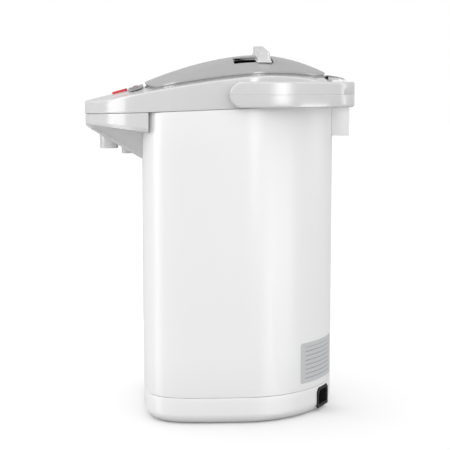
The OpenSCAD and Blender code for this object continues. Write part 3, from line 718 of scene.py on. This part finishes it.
def collar_rings():
    """Collar: joint edge, upright side, round shoulder, top up to the lid, and the well wall.

    Every ring is read off along the same rays, so that rings of different outlines don't cross.
    """
    dense = turn_angles(4000)
    rays = np.arctan2(*collar_outline(t)[:, ::-1].T)

    def ring(outline, *sizes):
        """An outline of the given sizes, read off along the rays."""
        return along_rays(outline(dense, *sizes), rays)

    def outside(points, wall):
        """Points pushed out along their rays, where they would come inside another wall."""
        own, other = np.hypot(*points.T), np.hypot(*wall.T) + 0.4
        return points * (np.maximum(own, other) / own)[:, None]

    rings = []
    low, lip = ring(collar_outline), ring(well_outline, EDGE)
    foot = joint_z(low[:, 1])
    for i, d in zip(*edge_arc(90, 0)):
        p = ring(collar_outline, i)
        rings.append(lift(p, joint_z(p[:, 1]) - d))
    for share in np.linspace(0.12, 1, 7):
        high = edge_top(low[:, 0], low[:, 1]) - SHOULDER
        rings.append(lift(low, foot + EDGE + (high - foot - EDGE) * share))
    for a in np.radians(np.linspace(12, 90, 9)):
        p = outside(ring(collar_outline, SHOULDER * (1 - math.cos(a))), lip)
        rings.append(lift(p, edge_top(p[:, 0], p[:, 1]) - SHOULDER * (1 - math.sin(a))))
    outer, inner = outside(ring(collar_outline, SHOULDER), lip), ring(well_outline)
    z0, z1 = edge_top(outer[:, 0], outer[:, 1]), groove_z(inner[:, 0], inner[:, 1])
    for share in np.linspace(0, 1, 9)[1:-1]:
        rings.append(lift(outer + (lip - outer) * share, z0 + (z1 - z0) * share))
    for a in np.radians(np.linspace(0, 90, 4)):
        p = ring(well_outline, EDGE * (1 - math.sin(a)))
        rings.append(lift(p, groove_z(p[:, 0], p[:, 1]) - EDGE * (1 - math.cos(a))))
    under = ring(well_outline, WALL)
    x, y = under.T
    edge = edge_top(x, y) - ROOF_EDGE + ROOF_SLOPE * np.maximum(-y, 0)
    under_top = np.minimum(groove_z(x, y) - ROOF, edge)
    rings += [lift(inner, DECK_Z), lift(under, DECK_Z), lift(under, under_top)]
    for inset, drop in ROOF_TURN:
        p = outside(ring(collar_outline, inset), under)
        rings.append(lift(p, edge_top(p[:, 0], p[:, 1]) - drop))
    p, q = outside(ring(collar_outline, WALL), under), ring(body_outline, WALL + 0.4)
    p_foot, q_foot = joint_z(p[:, 1]), joint_z(q[:, 1])
    rings += [lift(p, p_foot + WALL), lift(q, q_foot + WALL), lift(q, q_foot)]
    return rings


collar = loft("collar_moulding", collar_rings(), loop=True)
window_cuts = [box_solid("hinge_cut", (-HINGE_HALF, WELL_R - 5, HINGE_Z[0]),
                         (HINGE_HALF, WELL_R + 20, HINGE_Z[1]))]
for (x, y), (wide, deep) in zip(BUTTON_AT, BUTTON_SIZE):
    window = rounded_rect(wide + 0.6, deep + 0.6, 1.0)
    window_cuts.append(loft("button_cut", [at_beak(lift(window, z), x, y) for z in (-8.0, 12.0)]))
cut(collar, *window_cuts)
finish_piece(collar, GREY_ABS, "root", "grey_gloss", "collar")
for side in (-1, 1):
    lug = prism("latch_lug", rounded_rect(5.4, 20, 0.6) + (side * LUG_X, 2), *LUG_Z, 0.4)
    finish_piece(lug, GREY_ABS, "root", "grey_gloss")

# ---- lower beak ----

BEAK_INSET = 0.4                      # how far it stays inside the collar's outline
TIP_GAP = 0.9                         # and its tip behind the collar's
TIP_Y = -163.5                        # near the tip, where the keel line starts
SIDE_Y, SIDE_Z, SIDE_SLOPE = -97, 301, 0.1        # lower edge of its upright side
KEEL_TIP_Z, KEEL_Z, KEEL_SLOPE = 304, 266, 0.59   # underside at its tip and lowest, and its slope
KEEL_HALF, KEEL_SHARE = 20, 0.6       # half width of the keel, at most a share of the beak's
KEEL_RIM, RIM_SHARE = 4, 0.3          # its upright edge, at most a share of the drop to the keel
CREASE = (0.68, 0.11)                 # where shoulder and skirt meet: shares of the width and drop
SIDE_TURN = (0.985, 3)                # turn of the upright side: share of the width, and height
SPLITS = np.array([[0.08], [0.5], [0.92], [1]])   # where each side of a section has its points
HOLLOW_OVER = 20                      # how far the hollow goes over the joint


def beak_half(y):
    """Half width of the lower beak at y, on the superellipse of the collar's beak."""
    reach = BEAK_REACH + BEAK_ROOT - BEAK_INSET
    share = np.clip((BEAK_ROOT - y) / reach, 0, 1)
    return (HALF_W - BEAK_INSET) * (1 - share ** BEAK_N) ** (1 / BEAK_N)


def beak_section(y, inset):
    """One section across the lower beak: upright side, shallow shoulder, steep skirt and keel."""
    half, side = beak_half(y), SIDE_Z - SIDE_SLOPE * (y - SIDE_Y)
    keel = min(max(KEEL_Z, KEEL_TIP_Z - KEEL_SLOPE * (y - TIP_Y)), side - 1)
    drop = side - keel
    w, k = max(half - inset, 1.0), max(min(KEEL_HALF, KEEL_SHARE * half) - inset, 0.5)
    crease = max(CREASE[0] * half - inset, 0.75)
    top = joint_z(y) + (HOLLOW_OVER if inset else -SEAM_GAP)
    low, rim = keel + 1.2 * inset, min(KEEL_RIM, RIM_SHARE * drop)
    turn_in, turn_up = SIDE_TURN
    corners = np.array([(k, low), (k + 0.1, low + rim), (crease, side - CREASE[1] * drop),
                        (w * turn_in, side + inset), (w, side + inset + turn_up), (w, top)])
    corners[2, 1] += inset
    sides = corners[:-1, None] + np.diff(corners, axis=0)[:, None] * SPLITS
    right = np.vstack([corners[:1], sides.reshape(-1, 2)])
    xz = np.vstack([right * (-1, 1), right[::-1]])
    return np.stack([xz[:, 0], np.full(len(xz), y), xz[:, 1]], 1)


beak_length = BEAK_REACH + BEAK_REAR - TIP_GAP
stations = TIP_GAP - BEAK_REACH + beak_length * np.linspace(0, 1, 49) ** 1.6
beak = loft("beak_underside", [beak_section(y, 0) for y in stations])
inner_stations = [min(y, BEAK_REAR - WALL) for y in stations[::2] if y > 4 - BEAK_REACH]
hollow = loft("beak_hollow", [beak_section(y, WALL) for y in inner_stations])
body_cut = loft("body_cut", [lift(body_outline(t, -0.2), z) for z in (200, 400)])
cut(beak, hollow, body_cut)
finish_piece(beak, GREY_ABS, "root", "grey_gloss", "beak_lower")

# ---- lid and latch ----

LID_EDGE = 1.2                        # radius of the lid's round edge
LID_SKIRT = 7                         # height of its upright wall
GROOVE, GROOVE_TOP = 1.3, 2.6         # the shadow groove: its depth, and its top below the rim's
LID_ROOF = 3.4                        # thickness of the rim over the hollow
LINING_WALL = 1.2                     # walls round the slot: thickness and depth below the crown
LINING_DEPTH = (3.7, 2.2)
FIN_SOFT, FIN_FLARE = 0.9, 2.2        # soft edge of the latch bar, and how far its foot flares


def lid_rings():
    """Lid: rim with a shadow groove, round edge, and the dome in rings up to its crown."""
    rings = []
    p = well_outline(t, -LID_GAP)
    z = rim_top(p[:, 0], p[:, 1])
    rings.append(lift(p, z - LID_SKIRT))
    q = well_outline(t, -LID_GAP - GROOVE)
    rings += [lift(p, z - LID_STEP - 0.4), lift(q, z - LID_STEP), lift(q, z - GROOVE_TOP),
              lift(p, z - GROOVE_TOP + 0.5), lift(p, z - GROOVE_TOP + 1)]
    for a in np.radians(np.linspace(15, 75, 5)):
        q = well_outline(t, -LID_GAP - LID_EDGE * (1 - math.cos(a)))
        rings.append(lift(q, z - LID_EDGE * (1 - math.sin(a)) + 0.25))
    for fraction in 1 - np.linspace(0.016, 1, 40)[:-1]:
        rings.append(dome(t, fraction, -LID_GAP))
    return rings


def lid_hollow_rings():
    """Space under the dome, one wall thickness in."""
    p = well_outline(t, -LID_GAP - WALL)
    z = rim_top(p[:, 0], p[:, 1])
    rings = [lift(p, z - LID_SKIRT - 5), lift(p, z - LID_ROOF)]
    fractions = (0.97, 0.9, 0.8, 0.65, 0.5, 0.35, 0.2, 0.05)
    return rings + [dome(t, fraction, -LID_GAP - WALL, -WALL) for fraction in fractions]


lid = loft("lid_shell", lid_rings())
slot_plan = rounded_rect(SLOT_X[1] - SLOT_X[0], SLOT_Y[1] - SLOT_Y[0], 2) + SLOT_MIDDLE
cut(lid, loft("lid_hollow", lid_hollow_rings()),
    loft("slot_cut", [lift(slot_plan, z) for z in (364, 394)]))
finish_piece(lid, LID_GREY_PAINTED_SHADE, "lid", "grey_gloss", "lid_outer")


def slot_lining():
    """Walls that hang from the lid round its slot, outside the way of the leg."""
    wide, deep = (high - low + 2 * LINING_WALL for low, high in (SLOT_X, SLOT_Y))
    plan = rounded_rect(wide, deep, 3) + SLOT_MIDDLE
    crown = crown_at(plan[:, 0])
    lining = loft("slot_lining", [lift(plan, crown - depth) for depth in LINING_DEPTH])
    cut(lining, loft("lining_hole", [lift(slot_plan, z) for z in (340, 394)]))
    return lining


finish_piece(slot_lining(), LID_GREY_PAINTED_SHADE, "lid", "grey_gloss", "lid_outer")


def latch_bar():
    """Bar on the crown: straight sides, a sloped top with soft edges and a foot that flares."""
    middle = np.array([sum(FIN_X) / 2, sum(FIN_Y) / 2])
    length, width = FIN_X[1] - FIN_X[0], FIN_Y[1] - FIN_Y[0]
    rings = []

    def ring(grow, share, drop):
        """Plan let out by grow, at a share of the height between the dome and the top less drop."""
        plan = rounded_rect(length + 2 * grow, width + 2 * grow, 1.2) + middle
        x = np.clip(plan[:, 0], *FIN_X)
        low = crown_at(plan[:, 0]) + 0.7
        high = FIN_TOP[0] + (FIN_TOP[1] - FIN_TOP[0]) * (x - FIN_X[0]) / length - drop
        return lift(plan, low + (high - low) * share)

    for share in (0, 0.06, 0.14, 0.24, 0.36, 0.5, 0.75):
        rings.append(ring(FIN_FLARE * (1 - share) ** 5, share, FIN_SOFT))
    for a in np.radians(np.linspace(0, 90, 6)):
        rings.append(ring(-FIN_SOFT * (1 - math.cos(a)), 1, FIN_SOFT * (1 - math.sin(a))))
    return loft("latch_handle", rings)


def latch_leg():
    """Leg that goes down through the slot, its top cut to the dome."""
    low, high = span("latch_bar", 1)
    plan = rounded_rect(SLOT_X[1] - SLOT_X[0] - 4, high - low, 1.2)
    plan += (SLOT_MIDDLE[0], (low + high) / 2)
    foot, top = span("latch_bar", 2)[0], crown_at(plan[:, 0]) + 2.2
    return loft("latch_leg", [lift(plan, foot), lift(plan, top)])


finish_piece(latch_bar(), GREY_ABS, "latch", "grey_gloss", "latch_bar")
finish_piece(latch_leg(), GREY_ABS, "latch", "grey_gloss")

PIN_Y, PIN_Z = 107, 350.5             # hinge pin
BARREL_R = 3.6
ARM_GAP = 3.3                         # between the arm and each side of the hinge opening
LEVER_HALF, LEVER_WALL = 15.9, 1.2    # half width over the lever's side walls, their thickness


def along_x(name, side, low, high, edge):
    """A solid along X from an outline in y and z, drawn in by 6 percent at both ends."""
    rings = []
    for x, share in ((low, 0.94), (low + edge, 1), (high - edge, 1), (high, 0.94)):
        drawn = side.mean(0) + (side - side.mean(0)) * share
        rings.append(np.stack([np.full(len(drawn), x), drawn[:, 0], drawn[:, 1]], 1))
    return loft(name, rings)


def hinge_arm():
    """Arm from the lid's rear edge to its barrel round the hinge pin, as one outline along X."""
    a = np.radians(np.linspace(100, -130, 17))
    barrel = np.stack([PIN_Y + BARREL_R * np.cos(a), PIN_Z + BARREL_R * np.sin(a)], 1)
    side = np.vstack([[[WELL_R - 6, PIN_Z + 4]], barrel, [[WELL_R - 6, PIN_Z - 1]]])
    half = HINGE_HALF - ARM_GAP
    return along_x("lid_hinge_arm", side, -half, half, 0.5)


finish_piece(hinge_arm(), LID_GREY_PAINTED_SHADE, "lid", "grey_gloss")
# Side walls that hang from the release lever, beside the arm
LEVER_SIDE = np.array([(94.6, 356.8), (107, 355.5), (109.5, 354.7), (112.4, 353.0), (112.4, 351.4),
                       (108, 350.4), (94.6, 350.4)])
for low in (-LEVER_HALF, LEVER_HALF - LEVER_WALL):
    wall = along_x("lever_side", LEVER_SIDE, low, low + LEVER_WALL, 0.3)
    finish_piece(wall, GREY_ABS, "release", "panel_dark")

# ---- handle ----

PARTING_HALF = 0.35                   # half width of the parting line on the handle
PARTING = 0.8                         # and its depth, as a share of that
STRAP_SOFT = 2.6                      # radius of the strap's edges
STRAP_GATHER = 22                     # how far its stations move toward the pivots, in degrees


def strap_point(a, wide, rear):
    """Point on the strap's plan: a cubic superellipse from pivot to pivot round the back."""
    return np.stack([wide * power(np.cos(a), 2 / 3),
                     PIVOT_Y + (rear - PIVOT_Y) * power(np.sin(a), 2 / 3)], -1)


def handle_mesh():
    """Strap: a tall section with soft edges carried round the plan, ending in half discs."""
    radius = STRAP_H / 2
    arc = np.linspace(0, 180, 181)
    arc = np.radians(arc - STRAP_GATHER * np.sin(np.radians(2 * arc)))
    lead = radius * np.cos(np.radians(np.linspace(0, 84, 15)))
    path = [(STRAP_OUT, STRAP_IN, PIVOT_Y - d) for d in lead]
    outer = strap_point(arc, STRAP_OUT, STRAP_REAR)
    inner = strap_point(arc, STRAP_IN, STRAP_REAR_IN)

    def section(out_point, in_point, half):
        """Rounded rectangle between an outer and an inner point of the plan, half high."""
        r = min(STRAP_SOFT, half * 0.9)
        flat = max(half - r, 0.02)
        a = np.radians(np.linspace(0, 90, 6))
        depth = np.linalg.norm(out_point - in_point)
        share = r / depth
        across, up = [], []
        for sign_u, sign_v in ((1, 1), (-1, 1), (-1, -1), (1, -1)):
            steps = a if sign_u * sign_v > 0 else a[::-1]
            across.append(0.5 + sign_u * (0.5 - share + share * np.cos(steps)))
            up.append(sign_v * (flat + r * np.sin(steps)))
        line = min(PARTING_HALF, 0.4 * flat)
        across.append([1, 1 - PARTING * line / depth, 1])
        up.append([-line, 0, line])
        across, up = np.concatenate(across), np.concatenate(up)
        xy = in_point + (out_point - in_point) * across[:, None]
        return lift(xy, PIVOT_Z + up)

    def end(side):
        """Stations of the half disc at one pivot, from its tip to the pivot."""
        found = []
        for x_out, x_in, y in path:
            half = math.sqrt(max(radius ** 2 - (PIVOT_Y - y) ** 2, 0.01))
            found.append(section(np.array([side * x_out, y]), np.array([side * x_in, y]), half))
        return found

    strap = [section(o, i, radius) for o, i in zip(outer, inner)]
    return loft("carry_handle", end(1) + strap + end(-1)[::-1])


finish_piece(handle_mesh(), GREY_ABS, "handle", "grey_gloss", "handle")

# ---- small mouldings from the frame's own shapes ----

SOFTENED = [
    ("hinge_block", 1.2, WHITE_ABS, "root", "white_gloss"),
    ("nozzle", 0.6, GREY_ABS, "root", "grey_gloss"),
    ("drip_guide", 0.5, GREY_ABS, "root", "grey_gloss"),
    ("control_panel", 0.25, SMOKE_PANEL, "root", "panel_dark"),
    ("power_inlet", 0.35, BLACK_PBT, "root", "black_plastic"),
    ("release_lever", 0.5, SMOKE_PANEL, "release", "panel_dark"),
    ("dispense_button", 0.7, RED_BUTTON, "dispense", "red_plastic"),
    ("reboil_button", 0.6, GREY_BUTTON, "reboil", "grey_button"),
    ("unlock_button", 0.6, GREY_BUTTON, "unlock", "grey_button"),
]
for name, width, material, body, slot_name in SOFTENED:
    finish_piece(softened(name, width), material, body, slot_name, name)

dress(GREY_ABS, "bottom_plate", "inner_deck", "steam_cap")
dress(RUBBER_FOOT, "rubber_feet")
dress(PIN_STEEL, "base_screws", "hinge_pin", "handle_pivots", "inlet_pins", "base_heater")
dress(POT_STEEL, "inner_pot")
dress(GAUGE, "gauge_window", "riser_pipe")
dress(BOARD, "relay_board", "control_board")
dress(BLACK_PBT, "tact_switches", "thermostat", "latch_plate")
dress(LENS, "indicator_lenses")
dress(SILICONE, "spout_elbow", "inlet_hose", "pot_seal", "lid_gasket")
dress(SATIN_PP, "pump_housing", "impeller", "pot_support", "lid_inner")
dress(MICA_BAND, "band_heater")
dress(MOTOR_PAINT, "pump_motor")

# ---- floor, world and lamps ----

FLOOR_HALF = 9000
FLOOR_ALBEDO = 0.4                    # the floor as it lights the pot
SEEN_ALBEDO = 0.86                    # and as the camera sees it
FLOOR_GLOW = 0.07                     # what it gives of itself, the rest of white being the room's
ROOM = 1.78                           # brightness of the room at eye level
ZENITH = 0.50                         # and its share of that straight above
FORWARD = 0.15                        # how much brighter it is ahead of the pot, and darker behind
MIRRORED = 0.62                       # brightness of the room in reflections, as with dark cards
MIRRORED_FORWARD = 0.12
SOFTBOX_AWAY = 1500                   # from the pot's axis
WHITE = (1, 1, 1, 1)


def grey(level):
    """A neutral colour of a linear brightness."""
    return (level, level, level, 1)


def make_floor():
    """Floor: nearly white to the camera, so that it keeps the pot's shadow, mid grey to the pot."""
    corners = np.array([(-1, -1, 0), (1, -1, 0), (1, 1, 0), (-1, 1, 0)]) * FLOOR_HALF
    obj = mesh_object("floor", corners, [[0, 1, 2, 3]])
    material = bpy.data.materials.new("matt_white_floor")
    tree = empty_tree(material)
    path = node(tree, "ShaderNodeLightPath")
    matt = node(tree, "ShaderNodeBsdfDiffuse", {"Color": grey(FLOOR_ALBEDO)})
    seen = node(tree, "ShaderNodeBsdfDiffuse", {"Color": grey(SEEN_ALBEDO)})
    glow = node(tree, "ShaderNodeEmission", {"Color": WHITE, "Strength": FLOOR_GLOW})
    lit = node(tree, "ShaderNodeAddShader", i0=seen.outputs[0], i1=glow.outputs[0])
    mix = node(tree, "ShaderNodeMixShader", i0=path.outputs["Is Camera Ray"], i1=matt.outputs[0],
               i2=lit.outputs[0])
    node(tree, "ShaderNodeOutputMaterial", i0=mix.outputs[0])
    obj.data.materials.append(material)
    obj.visible_glossy = False


def make_world():
    """Soft room: white to the camera; to the pot darker upward and backward, and in the gloss."""
    world = bpy.data.worlds.new("studio")
    bpy.context.scene.world = world
    tree = empty_tree(world)
    path = node(tree, "ShaderNodeLightPath")
    heading = node(tree, "ShaderNodeTexCoord").outputs["Generated"]
    split = node(tree, "ShaderNodeSeparateXYZ", Vector=heading)

    def part(bright, axis, low, start, stop):
        """One factor of the brightness, which runs from start to stop along an axis of the room."""
        ramp = node(tree, "ShaderNodeMapRange", {"From Min": low, "From Max": 1.0, "To Min": start,
                                                 "To Max": stop}, Value=split.outputs[axis])
        level = node(tree, "ShaderNodeMath", {"operation": "MULTIPLY", 1: bright},
                     i0=ramp.outputs[0])
        return level.outputs[0]

    def room(bright, rear):
        """A room of a brightness, darker to the rear by a share of it and toward its ceiling."""
        both = node(tree, "ShaderNodeMath", {"operation": "MULTIPLY"},
                    i0=part(bright, "Z", 0.0, 1.0, ZENITH),
                    i1=part(1.0, "Y", -1.0, 1 + rear, 1 - rear))
        lit = node(tree, "ShaderNodeBackground", {"Color": WHITE}, Strength=both.outputs[0])
        return lit.outputs[0]

    white = node(tree, "ShaderNodeBackground", {"Color": WHITE, "Strength": 1.0})
    seen = node(tree, "ShaderNodeMixShader", i0=path.outputs["Is Glossy Ray"],
                i1=room(ROOM, FORWARD), i2=room(MIRRORED, MIRRORED_FORWARD))
    mix = node(tree, "ShaderNodeMixShader", i0=path.outputs["Is Camera Ray"], i1=seen.outputs[0],
               i2=white.outputs[0])
    node(tree, "ShaderNodeOutputWorld", i0=mix.outputs[0])


def softbox(name, azimuth, low, high, wide, radiance):
    """An upright softbox between two heights, at an azimuth from +X toward +Y.

    It shows only as a reflection: what the room gives is enough to light the pot.
    """
    data = bpy.data.lights.new(name, "AREA")
    data.shape = "RECTANGLE"
    data.size, data.size_y = wide * MM, (high - low) * MM
    data.energy = radiance * math.pi * data.size * data.size_y
    obj = bpy.data.objects.new(name, data)
    a = math.radians(azimuth)
    place = Vector((SOFTBOX_AWAY * math.cos(a), SOFTBOX_AWAY * math.sin(a), (low + high) / 2)) * MM
    obj.location = place
    obj.rotation_euler = Vector((-place.x, -place.y, 0)).to_track_quat("-Z", "Y").to_euler()
    obj.visible_diffuse = False
    obj.visible_camera = False
    bpy.context.scene.collection.objects.link(obj)


make_floor()
make_world()
# The low ones end where the handle would start to mirror them, and the high ones take over there
softbox("rear_softbox_low", 50, -1500, 130, 1000, 9.0)
softbox("front_softbox_low", -78, -1500, 130, 560, 3.4)
softbox("rear_softbox_high", 17, 120, 1500, 230, 9.5)
softbox("front_softbox_high", -78, 200, 1500, 600, 6.2)
softbox("back_softbox_high", 104, 200, 1500, 400, 2.2)

bpy.context.scene.view_settings.view_transform = "Standard"
